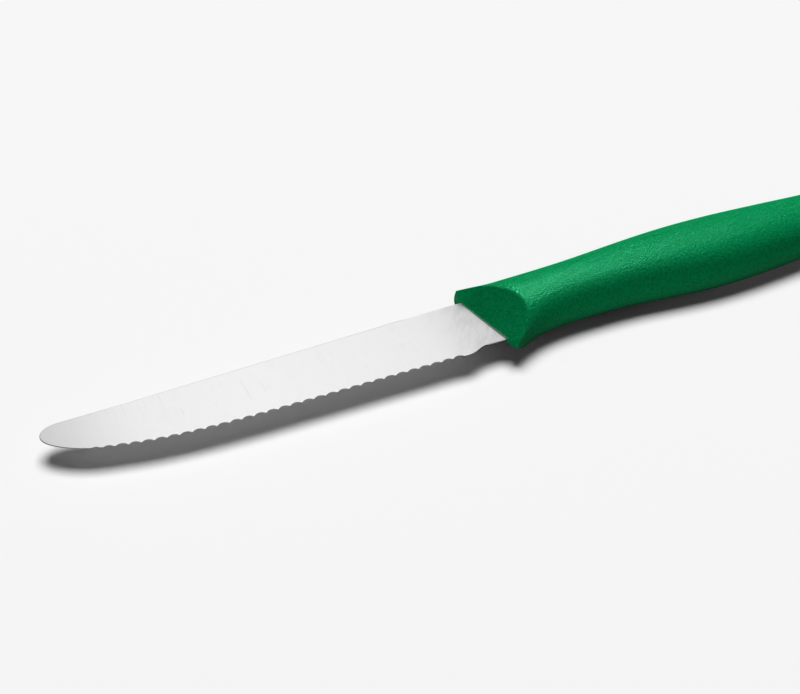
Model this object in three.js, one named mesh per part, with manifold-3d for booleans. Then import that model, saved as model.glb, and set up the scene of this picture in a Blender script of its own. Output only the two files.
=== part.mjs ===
// Serrated table knife: a stamped steel blade with its tang moulded into a one-piece plastic handle.
// Millimetres. The knife lies on its side: +X runs from the tip to the butt, +Y from the cutting edge
// to the spine and +Z up. While it is drawn, x = 0 is the middle of the handle's front, y = 0 is the
// line of the tooth points and z = 0 is the middle of the blade's thickness.
import * as THREE from 'three';
import { mergeVertices } from 'three/addons/utils/BufferGeometryUtils.js';
import Module from 'manifold-3d';

const wasm = await Module();
wasm.setup();

// Blade outline
const BLADE_LENGTH = 111.2; // tip to the middle of the handle's front
const BLADE_WIDTH = 18.4; // tooth points to the spine at the handle
const RICASSO_HEIGHT = 1.75; // the plain heel stands this far above the line of the teeth
const RICASSO_LENGTH = 2.1; // straight stretch of the heel in front of the handle
const HEEL_SWEEP = 6.6; // length of the curve between the heel and the edge
const HEEL_LAND = 1.0; // plain edge between that curve and the last tooth
const STRAIGHT_EDGE = 44.7; // straight stretch of the edge, from the last tooth
const PLAIN_TIP = 9.4; // tip to the first tooth, along the blade
const EDGE_RISE = 5.0; // climb of the edge at the first tooth
const EDGE_RISE_ANGLE = THREE.MathUtils.degToRad(20); // its slope there
const NOSE_HEIGHT = 12.6; // the foremost point of the tip above the line of the teeth
const TIP_SPINE_HEIGHT = 16.0; // spine above the line of the teeth where the tip starts to round
const TIP_ROUND = 5.2; // length of the rounding from the spine to the foremost point
const NOSE_EASE = 0.42; // fullness of the curve from the edge to the foremost point, under 0.5

// Blade thickness: taper-ground on both faces from the stock that the tang keeps
const STOCK_THICKNESS = 1.0;
const SPINE_THICKNESS = 0.95; // at the handle
const EDGE_THICKNESS = 0.45; // at the handle, on the line of the teeth
const TIP_THICKNESS = 0.5; // at the foremost point
const GRIND_STOP = 0.2; // the ground faces end this far in front of the handle
const CUT_REACH = 3; // how far a cut reaches past the metal or plastic that it goes through

// Teeth: scallops ground from the lower face by a wheel held at a slant
const TOOTH_PITCH = 3.0;
const TOOTH_DEPTH = 0.7;
const TOOTH_LAND = 0.14; // flat left at each point
const FLUTE_ANGLE = THREE.MathUtils.degToRad(32); // between a flute and the blade's face
const FLUTE_LENGTH = 16; // of the wheel's cut
const FADING_TEETH = 2; // the scallops fade out over this many at the tip

// Tang
const TANG_LENGTH = 66; // from the middle of the handle's front
const TANG_WIDTH = 9;
const TANG_HEIGHT = 11.8; // its centre line above the line of the teeth
const SHOULDER_DEPTH = 5.2; // where the blade narrows to the tang
const TANG_HOLE_RADIUS = 2.6;
const TANG_HOLES = [24, 48]; // their places behind the handle's front

// Handle: oval sections. Each line is given at the front, at its narrow neck, at its widest place and
// at the butt, with the places of the first three behind the middle of the front
const HANDLE_LENGTH = 111; // middle of the front to the butt
const EDGE_LINE = {
  front: -1.97, neck: 3.55, belly: 1.25, tail: 4.6,
  frontAt: 4.7, neckAt: 33, bellyAt: 64,
};
const SPINE_LINE = {
  front: 22.2, neck: 20.65, belly: 23.4, tail: 20.8,
  frontAt: -1.5, neckAt: 13, bellyAt: 60,
};
const HALF_LINE = { // half the thickness
  front: 7.7, neck: 6.2, belly: 6.9, tail: 6.0,
  frontAt: 0, neckAt: 23, bellyAt: 62,
};
const CROWN_LINE = { // share of the oval left where its spine side is flattened
  front: 0.905, neck: 1, belly: 1, tail: 1,
  frontAt: 0, neckAt: 23, bellyAt: 62,
};
const FULLNESS_LINE = { // 2 is an ellipse, more is a fuller oval, less is a leaner one
  front: 1.7, neck: 2.15, belly: 2.15, tail: 2.15,
  frontAt: 0, neckAt: 23, bellyAt: 62,
};
const GUARD_SWEEP = 4; // how quickly the lines turn from the neck to the front, as a power
const BUTT_ROUND = 13; // length of the rounded end
const BUTT_POWER = 2.3; // 2 is an elliptic end, more is a blunter one
const FRONT_SLANT = Math.tan(THREE.MathUtils.degToRad(15.3)); // the spine side of the front leads
const FRONT_LEAN = 1.5; // run of the front's two facets for each unit of rise, at their middle
const FRONT_TWIST = 0.048; // how much that run grows for each millimetre towards the edge side
const LAND_HALF = 0.8; // half height of the flat land round the blade
const RIM_ROUND = 0.5; // rounding between the front and the sides
const MOULD_GAP = 0.25; // clearance between the tang and the plastic

// Facets
const CURVE_STEPS = 20; // along each curve of an outline
const FLUTE_SIDES = 72;
const SECTION_SIDES = 48;
const BODY_RINGS = 36;
const BUTT_RINGS = 8;
const RIM_RINGS = 3;
const RIM_SEARCH = 40; // steps that settle the rim on the front

// Where the blade leaves the handle
const FRONT_MIDDLE = (RICASSO_HEIGHT + BLADE_WIDTH) / 2;
const frontLine = (y) => (FRONT_MIDDLE - y) * FRONT_SLANT;
const LAST_TOOTH = -(RICASSO_LENGTH + HEEL_SWEEP + HEEL_LAND);
const FIRST_TOOTH = -BLADE_LENGTH + PLAIN_TIP;

// A closed three.js geometry as a solid that can be joined and cut
function solid(geometry) {
  const plain = geometry.clone();
  plain.deleteAttribute('normal');
  plain.deleteAttribute('uv');
  const merged = mergeVertices(plain);
  const mesh = new wasm.Mesh({
    numProp: 3,
    vertProperties: new Float32Array(merged.attributes.position.array),
    triVerts: new Uint32Array(merged.index.array),
  });
  return new wasm.Manifold(mesh);
}

function namedMesh(name, body, material) {
  const { vertProperties, triVerts } = body.getMesh();
  const geometry = new THREE.BufferGeometry();
  geometry.setAttribute('position', new THREE.BufferAttribute(new Float32Array(vertProperties), 3));
  geometry.setIndex(new THREE.BufferAttribute(new Uint32Array(triVerts), 1));
  geometry.computeVertexNormals();
  const mesh = new THREE.Mesh(geometry, material);
  mesh.name = name;
  return mesh;
}

// A flat plate of the given outline, centred on z = 0
function plate(shape, thickness) {
  const geometry = new THREE.ExtrudeGeometry(shape, {
    depth: thickness,
    bevelEnabled: false,
    curveSegments: CURVE_STEPS,
  });
  return geometry.translate(0, 0, -thickness / 2);
}

// The cutting edge from the last tooth at the heel to the first one at the tip
function traceEdge(path) {
  const start = LAST_TOOTH - STRAIGHT_EDGE;
  const leave = (start - FIRST_TOOTH) / 2;
  const arrive = leave / 2;
  const dx = arrive * Math.cos(EDGE_RISE_ANGLE);
  const dy = arrive * Math.sin(EDGE_RISE_ANGLE);
  path.lineTo(start, 0);
  path.bezierCurveTo(start - leave, 0, FIRST_TOOTH + dx, EDGE_RISE - dy, FIRST_TOOTH, EDGE_RISE);
}

// The round tip, from the first tooth to the spine
function traceTip(path) {
  const leave = PLAIN_TIP * NOSE_EASE;
  const arrive = (NOSE_HEIGHT - EDGE_RISE) * NOSE_EASE;
  const dx = leave * Math.cos(EDGE_RISE_ANGLE);
  const dy = leave * Math.sin(EDGE_RISE_ANGLE);
  const crown = TIP_SPINE_HEIGHT - NOSE_HEIGHT;
  path.bezierCurveTo(
    FIRST_TOOTH - dx, EDGE_RISE + dy, -BLADE_LENGTH, NOSE_HEIGHT - arrive, -BLADE_LENGTH, NOSE_HEIGHT,
  );
  path.absellipse(-BLADE_LENGTH + TIP_ROUND, NOSE_HEIGHT, TIP_ROUND, crown, Math.PI, Math.PI / 2, true);
}

// The shoulders and the tang, from the spine round to the heel, larger on every side by grow
function traceTang(path, grow) {
  const radius = TANG_WIDTH / 2 + grow;
  const shoulder = SHOULDER_DEPTH + grow;
  const roundStart = TANG_LENGTH - TANG_WIDTH / 2;
  path.lineTo(shoulder, BLADE_WIDTH + grow);
  path.lineTo(shoulder, TANG_HEIGHT + radius);
  path.lineTo(roundStart, TANG_HEIGHT + radius);
  path.absarc(roundStart, TANG_HEIGHT, radius, Math.PI / 2, -Math.PI / 2, true);
  path.lineTo(shoulder, TANG_HEIGHT - radius);
  path.lineTo(shoulder, RICASSO_HEIGHT - grow);
}

// The holes of the tang, or the plugs of plastic that fill them
function tangHoles(radius) {
  return TANG_HOLES.map((x) => {
    const hole = new THREE.Path();
    hole.absarc(x, TANG_HEIGHT, radius, 0, 2 * Math.PI, false);
    return hole;
  });
}

function bladeOutline() {
  const outline = new THREE.Shape();
  const heel = LAST_TOOTH + HEEL_LAND;
  const heelMiddle = heel + HEEL_SWEEP / 2;
  outline.moveTo(-RICASSO_LENGTH, RICASSO_HEIGHT);
  outline.bezierCurveTo(heelMiddle, RICASSO_HEIGHT, heelMiddle, 0, heel, 0);
  outline.lineTo(LAST_TOOTH, 0);
  traceEdge(outline);
  traceTip(outline);
  const spineStart = -BLADE_LENGTH + TIP_ROUND;
  const spineEnd = frontLine(BLADE_WIDTH);
  const third = (spineEnd - spineStart) / 3;
  outline.bezierCurveTo(
    spineStart + third, TIP_SPINE_HEIGHT, spineEnd - third, BLADE_WIDTH, spineEnd, BLADE_WIDTH,
  );
  traceTang(outline, 0);
  outline.holes.push(...tangHoles(TANG_HOLE_RADIUS));
  return outline;
}

// The ground face is one plane: thickest at the spine by the handle, thinner to the edge and the tip
const FACE_AT_EDGE = EDGE_THICKNESS / 2;
const FACE_RISE = (SPINE_THICKNESS - EDGE_THICKNESS) / 2 / BLADE_WIDTH;
const FACE_TAPER = (FACE_AT_EDGE + FACE_RISE * NOSE_HEIGHT - TIP_THICKNESS / 2) / BLADE_LENGTH;
const faceHeight = (x, y) => FACE_AT_EDGE + FACE_RISE * y + FACE_TAPER * x;

// What grinding takes off one face: side is 1 for the upper face and -1 for the lower one
function grinding(side) {
  const low = -CUT_REACH;
  const high = BLADE_WIDTH + CUT_REACH;
  const shape = new THREE.Shape();
  shape.moveTo(-BLADE_LENGTH - CUT_REACH, low);
  shape.lineTo(frontLine(low) - GRIND_STOP, low);
  shape.lineTo(frontLine(high) - GRIND_STOP, high);
  shape.lineTo(-BLADE_LENGTH - CUT_REACH, high);
  const lift = side * (FACE_AT_EDGE + CUT_REACH / 2);
  const onFace = new THREE.Matrix4().set(
    1, 0, 0, 0,
    0, 1, 0, 0,
    side * FACE_TAPER, side * FACE_RISE, 1, lift,
    0, 0, 0, 1,
  );
  return plate(shape, CUT_REACH).applyMatrix4(onFace);
}

// One scallop: a round flute that leaves its chord and depth in the upper face, and runs further in
// on the lower face
function flute(middle, along, depth) {
  const sine = Math.sin(FLUTE_ANGLE);
  const cosine = Math.cos(FLUTE_ANGLE);
  const halfChord = (TOOTH_PITCH - TOOTH_LAND) / 2;
  const sagitta = TOOTH_DEPTH * sine;
  const radius = (halfChord ** 2 + sagitta ** 2) / (2 * sagitta);
  const tangent = new THREE.Vector3(along.x, along.y, 0);
  const inward = new THREE.Vector3(along.y, -along.x, 0);
  const up = new THREE.Vector3(0, 0, 1);
  const axis = inward.clone().multiplyScalar(cosine).addScaledVector(up, -sine);
  const across = new THREE.Vector3().crossVectors(tangent, axis);
  const centre = new THREE.Vector3(middle.x, middle.y, faceHeight(middle.x, middle.y));
  centre.addScaledVector(inward, depth - radius * sine).addScaledVector(up, -radius * cosine);
  const place = new THREE.Matrix4().makeBasis(tangent, axis, across).setPosition(centre);
  return new THREE.CylinderGeometry(radius, radius, FLUTE_LENGTH, FLUTE_SIDES).applyMatrix4(place);
}

function makeBlade() {
  let body = solid(plate(bladeOutline(), STOCK_THICKNESS));
  body = body.subtract(solid(grinding(1))).subtract(solid(grinding(-1)));
  const edge = new THREE.Path();
  edge.moveTo(LAST_TOOTH, 0);
  traceEdge(edge);
  const teeth = Math.round(edge.getLength() / TOOTH_PITCH);
  for (let i = 0; i < teeth; i += 1) {
    const share = (i + 0.5) / teeth;
    const depth = TOOTH_DEPTH * Math.min(1, (teeth - i) / (FADING_TEETH + 1));
    body = body.subtract(solid(flute(edge.getPoint(share), edge.getTangent(share), depth)));
  }
  return body;
}

// The height of one of the handle's lines at a distance behind the middle of its front
function lineAt(line, x) {
  const { front, neck, belly, tail, frontAt, neckAt, bellyAt } = line;
  const swing = (share) => (1 - Math.cos(Math.PI * share)) / 2;
  if (x < neckAt) {
    const left = THREE.MathUtils.clamp((neckAt - x) / (neckAt - frontAt), 0, 1);
    return THREE.MathUtils.lerp(neck, front, left ** GUARD_SWEEP);
  }
  if (x < bellyAt) {
    return THREE.MathUtils.lerp(neck, belly, swing((x - neckAt) / (bellyAt - neckAt)));
  }
  return THREE.MathUtils.lerp(belly, tail, swing((x - bellyAt) / (HANDLE_LENGTH - bellyAt)));
}

// The handle's section at a distance behind the middle of its front
function sectionAt(x) {
  const edge = lineAt(EDGE_LINE, x);
  const spine = lineAt(SPINE_LINE, x);
  return {
    middle: (spine + edge) / 2,
    width: spine - edge,
    half: lineAt(HALF_LINE, x),
    crown: lineAt(CROWN_LINE, x),
    fullness: lineAt(FULLNESS_LINE, x),
  };
}

// A point of the handle's skin; angle 0 is at the spine, and scale draws the section in at the butt
function skinPoint(x, angle, scale = 1) {
  const { middle, width, half, crown, fullness } = sectionAt(x);
  const bend = (value) => Math.sign(value) * Math.abs(value) ** (2 / fullness);
  const y = middle + scale * Math.min(crown, bend(Math.cos(angle))) * width / 2;
  return new THREE.Vector3(x, y, scale * bend(Math.sin(angle)) * half);
}

// The front of the handle: a land round the blade and two facets that lean back from it
function frontAt(y, z) {
  const rise = Math.max(0, Math.abs(z) - LAND_HALF);
  return frontLine(y) + rise * (FRONT_LEAN + FRONT_TWIST * (FRONT_MIDDLE - y));
}

// The rim at one angle: where the skin meets the front, and the ends of the rounding on both
function rimAt(angle) {
  let x = 0;
  for (let i = 0; i < RIM_SEARCH; i += 1) {
    const trial = skinPoint(x, angle);
    x = (x + frontAt(trial.y, trial.z)) / 2;
  }
  const corner = skinPoint(x, angle);
  const inward = new THREE.Vector2(sectionAt(x).middle - corner.y, -corner.z);
  inward.setLength(RIM_ROUND);
  const y = corner.y + inward.x;
  const z = corner.z + inward.y;
  return {
    corner,
    onSkin: skinPoint(x + RIM_ROUND, angle),
    onFront: new THREE.Vector3(frontAt(y, z), y, z),
  };
}

// The closed outside of the handle: rings from the butt to the rim, then the front
function handleSkin() {
  const points = [];
  const triangles = [];
  const sides = SECTION_SIDES;
  const angles = Array.from({ length: sides }, (_, j) => 2 * Math.PI * j / sides);
  const rims = angles.map(rimAt);
  const roundStart = HANDLE_LENGTH - BUTT_ROUND;

  points.push(new THREE.Vector3(HANDLE_LENGTH, sectionAt(HANDLE_LENGTH).middle, 0));
  for (let i = BUTT_RINGS - 1; i > 0; i -= 1) {
    const turn = Math.PI / 2 * i / BUTT_RINGS;
    const x = roundStart + BUTT_ROUND * Math.sin(turn) ** (2 / BUTT_POWER);
    points.push(...angles.map((angle) => skinPoint(x, angle, Math.cos(turn) ** (2 / BUTT_POWER))));
  }
  for (let i = 0; i <= BODY_RINGS; i += 1) {
    const share = i / BODY_RINGS;
    points.push(...angles.map((angle, j) => (
      skinPoint(THREE.MathUtils.lerp(roundStart, rims[j].onSkin.x, share), angle)
    )));
  }
  for (let i = 1; i <= RIM_RINGS; i += 1) {
    const share = i / RIM_RINGS;
    for (const { corner, onSkin, onFront } of rims) {
      const bend = new THREE.QuadraticBezierCurve3(onSkin, corner, onFront);
      points.push(bend.getPoint(share));
    }
  }

  const rings = (points.length - 1) / sides;
  const at = (ring, j) => 1 + ring * sides + (j + sides) % sides;
  const quad = (a, b, c, d) => triangles.push(a, b, c, a, c, d);
  for (let j = 0; j < sides; j += 1) {
    triangles.push(0, at(0, j), at(0, j + 1));
    for (let ring = 0; ring < rings - 1; ring += 1) {
      quad(at(ring, j), at(ring + 1, j), at(ring + 1, j + 1), at(ring, j + 1));
    }
  }

  // The front: a strip from the rim to the land on each half, and the land between them
  const last = rings - 1;
  const half = sides / 2;
  const upper = [];
  const lower = [];
  for (let j = 1; j < half; j += 1) {
    const { y, z } = rims[j].onFront;
    const height = Math.min(LAND_HALF, z / 2);
    upper[j] = points.push(new THREE.Vector3(frontAt(y, height), y, height)) - 1;
    lower[j] = points.push(new THREE.Vector3(frontAt(y, height), y, -height)) - 1;
  }
  for (let j = 1; j < half - 1; j += 1) {
    quad(at(last, j), upper[j], upper[j + 1], at(last, j + 1));
    quad(upper[j], lower[j], lower[j + 1], upper[j + 1]);
    quad(lower[j], at(last, -j), at(last, -j - 1), lower[j + 1]);
  }
  for (const [end, j, turn] of [[0, 1, 1], [half, half - 1, -1]]) {
    const fan = [at(last, j), upper[j], lower[j], at(last, -j)];
    for (let k = 0; k < fan.length - 1; k += 1) {
      const pair = turn > 0 ? [fan[k + 1], fan[k]] : [fan[k], fan[k + 1]];
      triangles.push(at(last, end), ...pair);
    }
  }

  const geometry = new THREE.BufferGeometry().setFromPoints(points);
  geometry.setIndex(triangles);
  return geometry;
}

// The space that the tang leaves in the plastic, with the plugs that run through its holes
function tangPocket() {
  const mouth = frontLine(SPINE_LINE.front) - CUT_REACH;
  const shape = new THREE.Shape();
  shape.moveTo(mouth, RICASSO_HEIGHT - MOULD_GAP);
  shape.lineTo(mouth, BLADE_WIDTH + MOULD_GAP);
  traceTang(shape, MOULD_GAP);
  shape.holes.push(...tangHoles(TANG_HOLE_RADIUS - MOULD_GAP));
  return plate(shape, STOCK_THICKNESS + 2 * MOULD_GAP);
}

const makeHandle = () => solid(handleSkin()).subtract(solid(tangPocket()));

const steel = new THREE.MeshStandardMaterial({ color: 0xd8d9da, metalness: 0.9, roughness: 0.38 });
const greenPlastic = new THREE.MeshStandardMaterial({ color: 0x0b8f57, metalness: 0, roughness: 0.55 });

const knife = new THREE.Group();
knife.add(namedMesh('blade', makeBlade(), steel));
knife.add(namedMesh('handle', makeHandle(), greenPlastic));

// The origin is under the middle of the knife, on the table
const box = new THREE.Box3().setFromObject(knife);
const middle = box.getCenter(new THREE.Vector3());
knife.position.set(-middle.x, -middle.y, -box.min.z);

export default knife;
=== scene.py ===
"""Looks of a serrated table knife: a satin steel blade in a grained green plastic handle."""

from functools import reduce
from math import copysign, cos, pi, radians, sin, tau
from typing import NamedTuple

import bmesh
import bpy
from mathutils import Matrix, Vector


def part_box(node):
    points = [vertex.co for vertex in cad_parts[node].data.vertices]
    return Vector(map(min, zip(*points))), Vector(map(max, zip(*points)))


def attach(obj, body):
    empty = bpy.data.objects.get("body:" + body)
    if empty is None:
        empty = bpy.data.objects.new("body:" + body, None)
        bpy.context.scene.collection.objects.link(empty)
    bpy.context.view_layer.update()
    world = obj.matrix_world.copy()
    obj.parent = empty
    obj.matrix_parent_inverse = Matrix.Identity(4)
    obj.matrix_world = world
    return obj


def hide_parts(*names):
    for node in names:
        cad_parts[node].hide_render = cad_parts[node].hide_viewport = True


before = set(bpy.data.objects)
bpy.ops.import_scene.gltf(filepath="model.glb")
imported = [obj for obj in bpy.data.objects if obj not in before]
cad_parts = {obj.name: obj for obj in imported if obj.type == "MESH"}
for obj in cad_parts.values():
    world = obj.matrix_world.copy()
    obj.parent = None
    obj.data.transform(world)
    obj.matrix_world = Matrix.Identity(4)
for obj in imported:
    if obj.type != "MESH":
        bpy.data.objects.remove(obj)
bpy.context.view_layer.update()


class Noise(NamedTuple):
    """A noise over a piece: its waves for each metre along X, Y and Z, and its turn about Z."""

    waves: tuple
    detail: float
    roughness: float = 0.5
    turn: float = 0.0


class Lamp(NamedTuple):
    """A soft light, in metres and watts, that is aimed at the middle of the knife."""

    place: tuple
    size: tuple
    power: float
    spread: float = pi


MM = 0.001

# Camera: it stands where the photograph was taken from, measured from the last tooth
CAMERA_BEHIND_TIP = 102.7 * MM  # the last tooth, along the blade
CAMERA_ABOVE_MIDDLE = 0.225 * MM  # the last tooth, above the middle of the blade's thickness
CAMERA_OFFSET = Vector((-179.59, -367.92, 345.57)) * MM
CAMERA_TURN = (radians(50), 0, radians(-23.7))
CAMERA_LENS = 100.71  # in millimetres, and so is the sensor
CAMERA_SENSOR = 36
CAMERA_NEAREST = 10 * MM  # nothing nearer than this is drawn

# Both meshes
WELD = 0.002 * MM  # corners nearer than this become one
SHARP_ANGLE = radians(35)  # edges that turn more than this stay sharp

# Blade: the square edges of the stamped plate are rounded
FLAT_ANGLE = radians(1)  # faces that lie this flat are joined first
PLATE_EDGE_ANGLES = (radians(70), radians(110))
PLATE_EDGE_ROUND = 0.18 * MM
PLATE_EDGE_STEPS = 2
PLATE_EDGE_PROFILE = 0.5  # a quarter of a circle

# Handle: its skin is subdivided, and creases hold the rim of its front
QUAD_ANGLE = radians(25)  # triangles that lie this flat are joined to quads
QUAD_SHAPE_ANGLE = radians(60)  # a quad's corners may be this far from square
SKIN_LEVELS = 2  # how often the skin is subdivided
RIM_ANGLE = radians(17)  # the rim's edges turn more than this
RIM_CREASE = 0.7
RIM_STEP = 0.5 * MM  # edges across the rim are shorter than this, and have no crease
LENGTHWISE = 0.95  # share of an edge's length, from which on it runs along the handle and has no crease
CORNER_ANGLE = radians(60)  # an edge that turns more than this is creased all the same

# Handle: the pocket of the tang is closed up round the blade
POCKET_HALF = 0.75 * MM  # half the pocket's height in the solid
POCKET_SEARCH = 0.01 * MM  # its corners are found within this
MOUTH_HALF = 0.53 * MM  # half the height that is left, just clear of the blade

# Handle: its front, which leans back about one to one by the spine, is made more upright there
FRONT_LAND_HALF = 0.8 * MM  # half the height of the flat land round the blade
FRONT_DEPTH = 2 * MM  # the front and its rim, measured back from that lean
UPRIGHT_FROM = 7.4 * MM  # where along Y this starts, and where it is complete
UPRIGHT_TO = 9.7 * MM
UPRIGHT_SHARE = 0.75  # the part of its lean that the spine end does without

# Satin steel: lines ground across the blade, darker scratches in patches, and smudges by the handle
GRIND_LINES = Noise((2600, 45, 45), detail=3)
FINE_LINES = Noise((7000, 160, 160), detail=2)
GRIND_SPAN = (0.7, 1.3)  # both kinds of lines added up
GRIND_TONES = (0.94, 0.97)
CLOUDS = Noise((90, 140, 140), detail=3)
SCRATCH_SPAN = (0.55, 0.7)  # the strongest of the ground lines
SCRATCH_CLOUDS = (0.48, 0.62)  # the patches
SCRATCH_TONE = 0.91
SMUDGES = Noise((420, 130, 130), detail=4, roughness=0.65, turn=radians(-35))
SMUDGE_SPAN = (0.45, 0.75)
SMUDGE_TONE = 0.72
SMUDGE_REACH = 10 * MM  # they start this far in front of the handle's foremost point
SMUDGE_FULL = 4 * MM  # and are strongest this far behind it, because the front is slanted
# the narrow sides carry the painted side shade, a painted reflection of the knife's shadow
FACE_SPAN = (0.3, 0.9)  # upright part of the normal, from the narrow sides to the broad faces
STEEL_BUMP = 0.08
STEEL_BUMP_HEIGHT = 0.02 * MM
STEEL_CLOUDS = (0.35, 0.65)  # the clouds that carry the roughness
STEEL_ROUGHNESS = (0.33, 0.37)

# Painted reflection and shade along the blade, from the tip to the handle: the broad faces get darker
# towards the tip and the handle, and the narrow sides are painted dark at the tip and by the handle, where
# they would mirror the knife's shadow
PAINTED_FACE_SHADING = [
    (0.0, 0.62), (0.1, 0.80), (0.2, 0.93), (0.35, 0.97), (0.5, 0.995), (0.75, 0.97), (0.88, 0.95),
    (0.95, 0.85), (1.0, 0.76),
]
# painted shade on the narrow sides: dark at the tip and by the handle, pale between
PAINTED_SIDE_SHADE = [(0.0, 0.15), (0.05, 0.2), (0.11, 0.9), (0.88, 0.9), (0.94, 0.3), (1.0, 0.3)]

# Green plastic: a moulded grain of fine pebbles, with painted shade in the pits between them and painted
# light on their tops
PEBBLE_WAVES = 1900.0  # for each metre
PEBBLE_SPAN = (0.25, 0.75)
# the grain's relief is in the bump; the darker pits are painted shade and the lighter pebble tops painted
# light
PAINTED_SHADE_PIT_GREEN = (0.001, 0.225, 0.070, 1)
PAINTED_LIGHT_PEBBLE_GREEN = (0.002, 0.325, 0.101, 1)
PEBBLE_BUMP = 1.0
PEBBLE_HEIGHT = 0.1 * MM
MOTTLE = Noise((160, 160, 160), detail=3)
MOTTLE_SPAN = (0.3, 0.7)  # it carries the roughness
PLASTIC_ROUGHNESS = (0.33, 0.38)
PLASTIC_GLOSS = 0.8
PLASTIC_GLOSS_TINT = (0.0, 1.0, 0.42, 1)

# Room and backdrop, as tones
BACKDROP = 0.93
ROOM_LIGHT = 0.035  # what the room lights the knife with
ROOM_GLOSS = 0.01  # what a gloss mirrors of the room

# Floor, its tones for the camera, for light and for what mirrors it
FLOOR_HALF = 2.0
FLOOR_SEEN = 0.9
FLOOR_LIGHT = 0.28
FLOOR_IN_HANDLE = 0.04
FLOOR_IN_BLADE = 0.45
FLOOR_IN_MIRRORED = 0.7  # seen by way of two surfaces or more
MIRRORED_DEPTH = 1.5  # rays of one bounce are under this, and those of two or more over it
FLOOR_CHANGE = (0.0, -0.03)  # along X, from the handle's stretch of the floor to the blade's
FLOOR_FADE = (0.35, 0.9)  # distances between which the floor fades into the backdrop

# Lights
OVERHEAD = Lamp((0.175, 0.475, 4.0), (2.25, 2.25), 176)  # throws the knife's shadow on the floor
BACK_PANEL = Lamp((0.62, 0.66, 0.56), (0.45, 0.35), 15.5)  # the main light on the knife
FRONT_FILL = Lamp((-0.85, -0.7, 0.75), (1.0, 0.8), 6.5)
SHEEN = Lamp((0.134, 0.160, 0.245), (0.07, 0.06), 0.0072, spread=radians(24))  # the handle's gloss
BLADE_TOP = Lamp((0, 0, 1.2), (1.0, 1.0), 2.75)  # the blade's gloss

# Pale panels in a ring round the blade, for its gloss from every side
PANEL_COUNT = 5
PANEL_TURN = radians(65.4)  # of the first one
PANEL_REACH = 0.792
PANEL_HEIGHT = 0.66
PANEL_SIZE = (1.15, 1.1)
PANEL_POWER = 3.5

# Sockets of a Mix node that mixes colours
MIX_SHARE = 0
MIX_FIRST = 6
MIX_LAST = 7
MIX_RESULT = 2


def welded_mesh(node):
    """The node's solid as an editable mesh with shared corners."""
    mesh = bmesh.new()
    mesh.from_mesh(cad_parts[node].data)
    bmesh.ops.remove_doubles(mesh, verts=mesh.verts, dist=WELD)
    return mesh


def new_piece(name, mesh, material, node):
    """A smooth piece that stands for the node."""
    data = bpy.data.meshes.new(name)
    mesh.to_mesh(data)
    mesh.free()
    data.materials.append(material)
    for polygon in data.polygons:
        polygon.use_smooth = True
    piece = bpy.data.objects.new(name, data)
    bpy.context.scene.collection.objects.link(piece)
    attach(piece, "root")
    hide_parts(node)
    return piece


def edge_turn(edge):
    """The angle between the two faces of an edge, or 0 where it hasn't two."""
    return edge.calc_face_angle(0)


def make_blade(steel, front):
    """The blade, with its square edges rounded as far as the handle's front."""
    mesh = welded_mesh("blade")
    bmesh.ops.dissolve_limit(mesh, angle_limit=FLAT_ANGLE, verts=mesh.verts, edges=mesh.edges)
    low, high = PLATE_EDGE_ANGLES
    rims = [
        edge for edge in mesh.edges
        if low < edge_turn(edge) < high and max(vert.co.x for vert in edge.verts) < front
    ]
    bmesh.ops.bevel(
        mesh, geom=rims, offset=PLATE_EDGE_ROUND, offset_type="OFFSET", segments=PLATE_EDGE_STEPS,
        profile=PLATE_EDGE_PROFILE, affect="EDGES", clamp_overlap=False,
    )
    piece = new_piece("blade_finish", mesh, steel, "blade")
    piece.data.set_sharp_from_angle(angle=SHARP_ANGLE)
    weighted = piece.modifiers.new("even_shading", "WEIGHTED_NORMAL")
    weighted.keep_sharp = True
    return piece


def skin_crease(edge):
    """How sharp an edge of the handle's skin stays, from 0, smoothed, to 1."""
    turn = edge_turn(edge)
    start, end = (vert.co for vert in edge.verts)
    length = edge.calc_length()
    lengthwise = abs(end.x - start.x) > LENGTHWISE * length
    if (lengthwise or length < RIM_STEP) and turn < CORNER_ANGLE:
        return 0.0
    if turn > SHARP_ANGLE:
        return 1.0
    return RIM_CREASE if turn > RIM_ANGLE else 0.0


def stand_upright(vert, front, height):
    """Moves a corner of the handle's front forward by the spine; height is from the blade's middle."""
    rise = max(0.0, abs(height) - FRONT_LAND_HALF)
    share = (vert.co.y - UPRIGHT_FROM) / (UPRIGHT_TO - UPRIGHT_FROM)
    if vert.co.x - front - rise < FRONT_DEPTH:
        vert.co.x -= UPRIGHT_SHARE * rise * min(1.0, max(0.0, share))


def make_handle(plastic, front, middle):
    """The handle's skin; front is its end by the blade, and middle the height of the blade's middle."""
    mesh = welded_mesh("handle")
    bmesh.ops.join_triangles(
        mesh, faces=mesh.faces, angle_face_threshold=QUAD_ANGLE, angle_shape_threshold=QUAD_SHAPE_ANGLE,
    )
    for vert in mesh.verts:
        height = vert.co.z - middle
        if abs(abs(height) - POCKET_HALF) < POCKET_SEARCH:
            vert.co.z = middle + copysign(MOUTH_HALF, height)
        stand_upright(vert, front, height)
    creases = mesh.edges.layers.float.new("crease_edge")
    for edge in mesh.edges:
        edge[creases] = skin_crease(edge)
        edge.smooth = edge[creases] < 1.0
    piece = new_piece("handle_finish", mesh, plastic, "handle")
    smooth = piece.modifiers.new("smooth_skin", "SUBSURF")
    smooth.levels = SKIN_LEVELS
    smooth.render_levels = SKIN_LEVELS
    return piece


def grey(level):
    """A grey as a colour without transparency."""
    return (level, level, level, 1)


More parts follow.
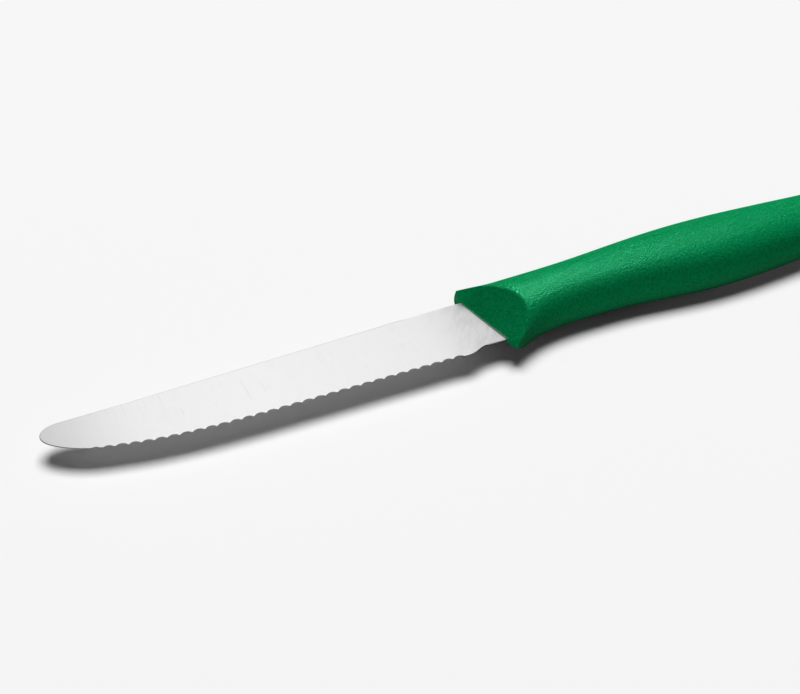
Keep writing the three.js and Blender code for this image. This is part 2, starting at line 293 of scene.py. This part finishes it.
class Nodes:
    """A material's or world's node tree, filled by short calls."""

    def __init__(self, owner):
        owner.use_nodes = True
        self.tree = owner.node_tree
        self.tree.nodes.clear()

    def fill(self, node, inputs):
        """Links each socket in inputs to the node, and sets each plain value on it."""
        for key, value in inputs.items():
            if isinstance(value, bpy.types.NodeSocket):
                self.tree.links.new(value, node.inputs[key])
            else:
                node.inputs[key].default_value = value

    def add(self, kind, inputs=None, **settings):
        """A new node."""
        node = self.tree.nodes.new(kind)
        for key, value in settings.items():
            setattr(node, key, value)
        self.fill(node, inputs or {})
        return node

    def noise(self, place, form):
        """The value of a noise at a place."""
        mapping = self.add("ShaderNodeMapping", {
            "Vector": place,
            "Scale": [1 / waves for waves in form.waves],
            "Rotation": (0, 0, form.turn),
        }, vector_type="TEXTURE")
        texture = self.add("ShaderNodeTexNoise", {
            "Vector": mapping.outputs["Vector"],
            "Scale": 1.0,
            "Detail": form.detail,
            "Roughness": form.roughness,
        })
        return texture.outputs["Fac"]

    def part(self, vector, axis):
        """One part of a vector."""
        return self.add("ShaderNodeSeparateXYZ", {"Vector": vector}).outputs[axis]

    def maths(self, operation, *values):
        """An operation on one or two values."""
        return self.add("ShaderNodeMath", dict(enumerate(values)), operation=operation).outputs["Value"]

    def ramp(self, value, source, target=(0.0, 1.0)):
        """A value carried from one span to another, and held at its ends."""
        low, high = source
        first, last = target
        values = {"Value": value, "From Min": low, "From Max": high, "To Min": first, "To Max": last}
        return self.add("ShaderNodeMapRange", values).outputs["Result"]

    def blend(self, share, first, last, way="MIX"):
        """One colour turned into another by share."""
        colours = {MIX_SHARE: share, MIX_FIRST: first, MIX_LAST: last}
        return self.add("ShaderNodeMix", colours, data_type="RGBA", blend_type=way).outputs[MIX_RESULT]

    def multiply(self, first, last):
        """One colour laid over another."""
        return self.blend(1.0, first, last, "MULTIPLY")

    def tones(self, share, stops):
        """A smooth run of greys, with stops given as (share, level)."""
        node = self.add("ShaderNodeValToRGB", {"Fac": share})
        node.color_ramp.interpolation = "B_SPLINE"
        elements = node.color_ramp.elements
        elements.remove(elements[-1])
        elements[0].position, level = stops[0]
        elements[0].color = grey(level)
        for position, level in stops[1:]:
            elements.new(position).color = grey(level)
        return node.outputs["Color"]

    def bump(self, relief, strength, height):
        """The normal of a surface with a relief."""
        values = {"Strength": strength, "Distance": height, "Height": relief}
        return self.add("ShaderNodeBump", values).outputs["Normal"]


def new_material(name):
    """A material with its nodes, the place on the piece and the shader that is still to fill."""
    material = bpy.data.materials.new(name)
    nodes = Nodes(material)
    place = nodes.add("ShaderNodeTexCoord").outputs["Object"]
    shader = nodes.add("ShaderNodeBsdfPrincipled")
    nodes.add("ShaderNodeOutputMaterial", {"Surface": shader.outputs["BSDF"]})
    return material, nodes, place, shader


def satin_steel(tip, front):
    """Steel ground across the blade, with painted reflection and shade along it; tip and front are the ends
    of the bare blade along X.
    """
    material, nodes, place, shader = new_material("satin_steel")
    along = nodes.part(place, "X")
    share = nodes.ramp(along, (tip, front))
    lines = nodes.noise(place, GRIND_LINES)
    grind = nodes.maths("ADD", lines, nodes.noise(place, FINE_LINES))
    clouds = nodes.noise(place, CLOUDS)
    scratches = nodes.maths("MULTIPLY", nodes.ramp(lines, SCRATCH_SPAN), nodes.ramp(clouds, SCRATCH_CLOUDS))
    by_handle = nodes.ramp(along, (front - SMUDGE_REACH, front + SMUDGE_FULL))
    smudges = nodes.maths("MULTIPLY", nodes.ramp(nodes.noise(place, SMUDGES), SMUDGE_SPAN), by_handle)
    normal = nodes.add("ShaderNodeTexCoord").outputs["Normal"]
    broad = nodes.ramp(nodes.maths("ABSOLUTE", nodes.part(normal, "Z")), FACE_SPAN)
    dark, light = GRIND_TONES
    white = grey(1.0)
    layers = [
        nodes.blend(nodes.ramp(grind, GRIND_SPAN), grey(dark), grey(light)),
        nodes.blend(scratches, white, grey(SCRATCH_TONE)),
        nodes.blend(smudges, white, grey(SMUDGE_TONE)),
        # painted reflection falloff on the broad faces, and painted shade on the narrow sides
        nodes.tones(share, PAINTED_FACE_SHADING),
        nodes.blend(broad, nodes.tones(share, PAINTED_SIDE_SHADE), white),
    ]
    nodes.fill(shader, {
        "Base Color": reduce(nodes.multiply, layers),
        "Metallic": 1.0,
        "Roughness": nodes.ramp(clouds, STEEL_CLOUDS, STEEL_ROUGHNESS),
        "Normal": nodes.bump(grind, STEEL_BUMP, STEEL_BUMP_HEIGHT),
    })
    return material


def grained_plastic():
    """Green plastic with a moulded grain of pebbles, with painted shade in the pits and painted light on
    the pebble tops.
    """
    material, nodes, place, shader = new_material("green_plastic")
    cells = nodes.add("ShaderNodeTexVoronoi", {"Vector": place, "Scale": PEBBLE_WAVES})
    pebbles = nodes.maths("SUBTRACT", 1.0, cells.outputs["Distance"])
    nodes.fill(shader, {
        "Base Color": nodes.blend(nodes.ramp(pebbles, PEBBLE_SPAN), PAINTED_SHADE_PIT_GREEN, PAINTED_LIGHT_PEBBLE_GREEN),
        "Roughness": nodes.ramp(nodes.noise(place, MOTTLE), MOTTLE_SPAN, PLASTIC_ROUGHNESS),
        "Normal": nodes.bump(pebbles, PEBBLE_BUMP, PEBBLE_HEIGHT),
        "Specular IOR Level": PLASTIC_GLOSS,
        "Specular Tint": PLASTIC_GLOSS_TINT,
    })
    return material


def seen_rays(nodes, path):
    """1 for what the camera sees, straight or through glass, and 0 for the rest."""
    return nodes.maths("MAXIMUM", path["Is Camera Ray"], path["Is Transmission Ray"])


def pale_floor():
    """A floor that keeps the shadow near the knife and fades into the backdrop farther off."""
    material = bpy.data.materials.new("pale_floor")
    nodes = Nodes(material)
    path = nodes.add("ShaderNodeLightPath").outputs
    seen = seen_rays(nodes, path)
    place = nodes.add("ShaderNodeTexCoord").outputs["Object"]
    by_blade = nodes.ramp(nodes.part(place, "X"), FLOOR_CHANGE)
    in_knife = nodes.blend(by_blade, grey(FLOOR_IN_HANDLE), grey(FLOOR_IN_BLADE))
    later = nodes.maths("GREATER_THAN", path["Ray Depth"], MIRRORED_DEPTH)
    in_gloss = nodes.blend(later, in_knife, grey(FLOOR_IN_MIRRORED))
    unseen = nodes.blend(path["Is Glossy Ray"], grey(FLOOR_LIGHT), in_gloss)
    tone = nodes.blend(seen, unseen, grey(FLOOR_SEEN))
    near = nodes.add("ShaderNodeBsdfDiffuse", {"Color": tone}).outputs["BSDF"]
    backdrop = nodes.add("ShaderNodeEmission", {"Color": grey(BACKDROP)}).outputs["Emission"]
    distance = nodes.add("ShaderNodeVectorMath", {0: place}, operation="LENGTH").outputs["Value"]
    far = nodes.maths("MULTIPLY", seen, nodes.ramp(distance, FLOOR_FADE))
    surface = nodes.add("ShaderNodeMixShader", {"Fac": far, 1: near, 2: backdrop})
    nodes.add("ShaderNodeOutputMaterial", {"Surface": surface.outputs["Shader"]})
    material.cycles.emission_sampling = "NONE"
    return material


def make_floor():
    """A square floor under the knife."""
    low, high = -FLOOR_HALF, FLOOR_HALF
    data = bpy.data.meshes.new("floor")
    data.from_pydata([(low, low, 0), (high, low, 0), (high, high, 0), (low, high, 0)], [], [(0, 1, 2, 3)])
    data.materials.append(pale_floor())
    floor = bpy.data.objects.new("floor", data)
    bpy.context.scene.collection.objects.link(floor)
    return floor


def area_light(name, lamp, lit, gloss=False):
    """A light on the given objects alone, which shows in their gloss or in all but their gloss."""
    data = bpy.data.lights.new(name, "AREA")
    data.shape = "RECTANGLE"
    data.size, data.size_y = lamp.size
    data.energy = lamp.power
    data.spread = lamp.spread
    light = bpy.data.objects.new(name, data)
    light.location = lamp.place
    light.rotation_euler = (-Vector(lamp.place)).to_track_quat("-Z", "Y").to_euler()
    light.visible_glossy = gloss
    light.visible_diffuse = not gloss
    bpy.context.scene.collection.objects.link(light)
    receivers = bpy.data.collections.new("lit_by_" + name)
    for piece in lit:
        receivers.objects.link(piece)
    light.light_linking.receiver_collection = receivers


def make_lights(floor, blade, handle):
    """The studio's lights, each for some of the objects."""
    area_light("overhead", OVERHEAD, [floor])
    area_light("back_panel", BACK_PANEL, [blade, handle])
    area_light("front_fill", FRONT_FILL, [blade, handle])
    for number in range(PANEL_COUNT):
        turn = PANEL_TURN + number * tau / PANEL_COUNT
        place = (PANEL_REACH * cos(turn), PANEL_REACH * sin(turn), PANEL_HEIGHT)
        area_light(f"blade_panel_{number}", Lamp(place, PANEL_SIZE, PANEL_POWER), [blade], gloss=True)
    area_light("blade_top", BLADE_TOP, [blade], gloss=True)
    area_light("sheen", SHEEN, [handle], gloss=True)


def make_world():
    """A dim room that is as pale as the backdrop where the camera looks into it."""
    world = bpy.data.worlds.new("studio")
    bpy.context.scene.world = world
    nodes = Nodes(world)
    path = nodes.add("ShaderNodeLightPath").outputs
    room = nodes.blend(path["Is Glossy Ray"], grey(ROOM_LIGHT), grey(ROOM_GLOSS))
    colour = nodes.blend(seen_rays(nodes, path), room, grey(BACKDROP))
    light = nodes.add("ShaderNodeBackground", {"Color": colour})
    nodes.add("ShaderNodeOutputWorld", {"Surface": light.outputs["Background"]})


def make_camera():
    """The camera at the photograph's place."""
    low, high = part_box("blade")
    last_tooth = Vector((low.x + CAMERA_BEHIND_TIP, low.y, (low.z + high.z) / 2 + CAMERA_ABOVE_MIDDLE))
    data = bpy.data.cameras.new("camera")
    data.lens = CAMERA_LENS
    data.sensor_width = CAMERA_SENSOR
    data.clip_start = CAMERA_NEAREST
    camera = bpy.data.objects.new("camera", data)
    camera.location = last_tooth + CAMERA_OFFSET
    camera.rotation_euler = CAMERA_TURN
    bpy.context.scene.collection.objects.link(camera)
    bpy.context.scene.camera = camera


handle_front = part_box("handle")[0].x
blade_low, blade_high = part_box("blade")
blade_middle = (blade_low.z + blade_high.z) / 2
blade = make_blade(satin_steel(blade_low.x, handle_front), handle_front)
handle = make_handle(grained_plastic(), handle_front, blade_middle)
handle.visible_diffuse = False  # it throws no green on the floor
floor = make_floor()
make_lights(floor, blade, handle)
make_world()
make_camera()
bpy.context.scene.view_settings.view_transform = "Standard"
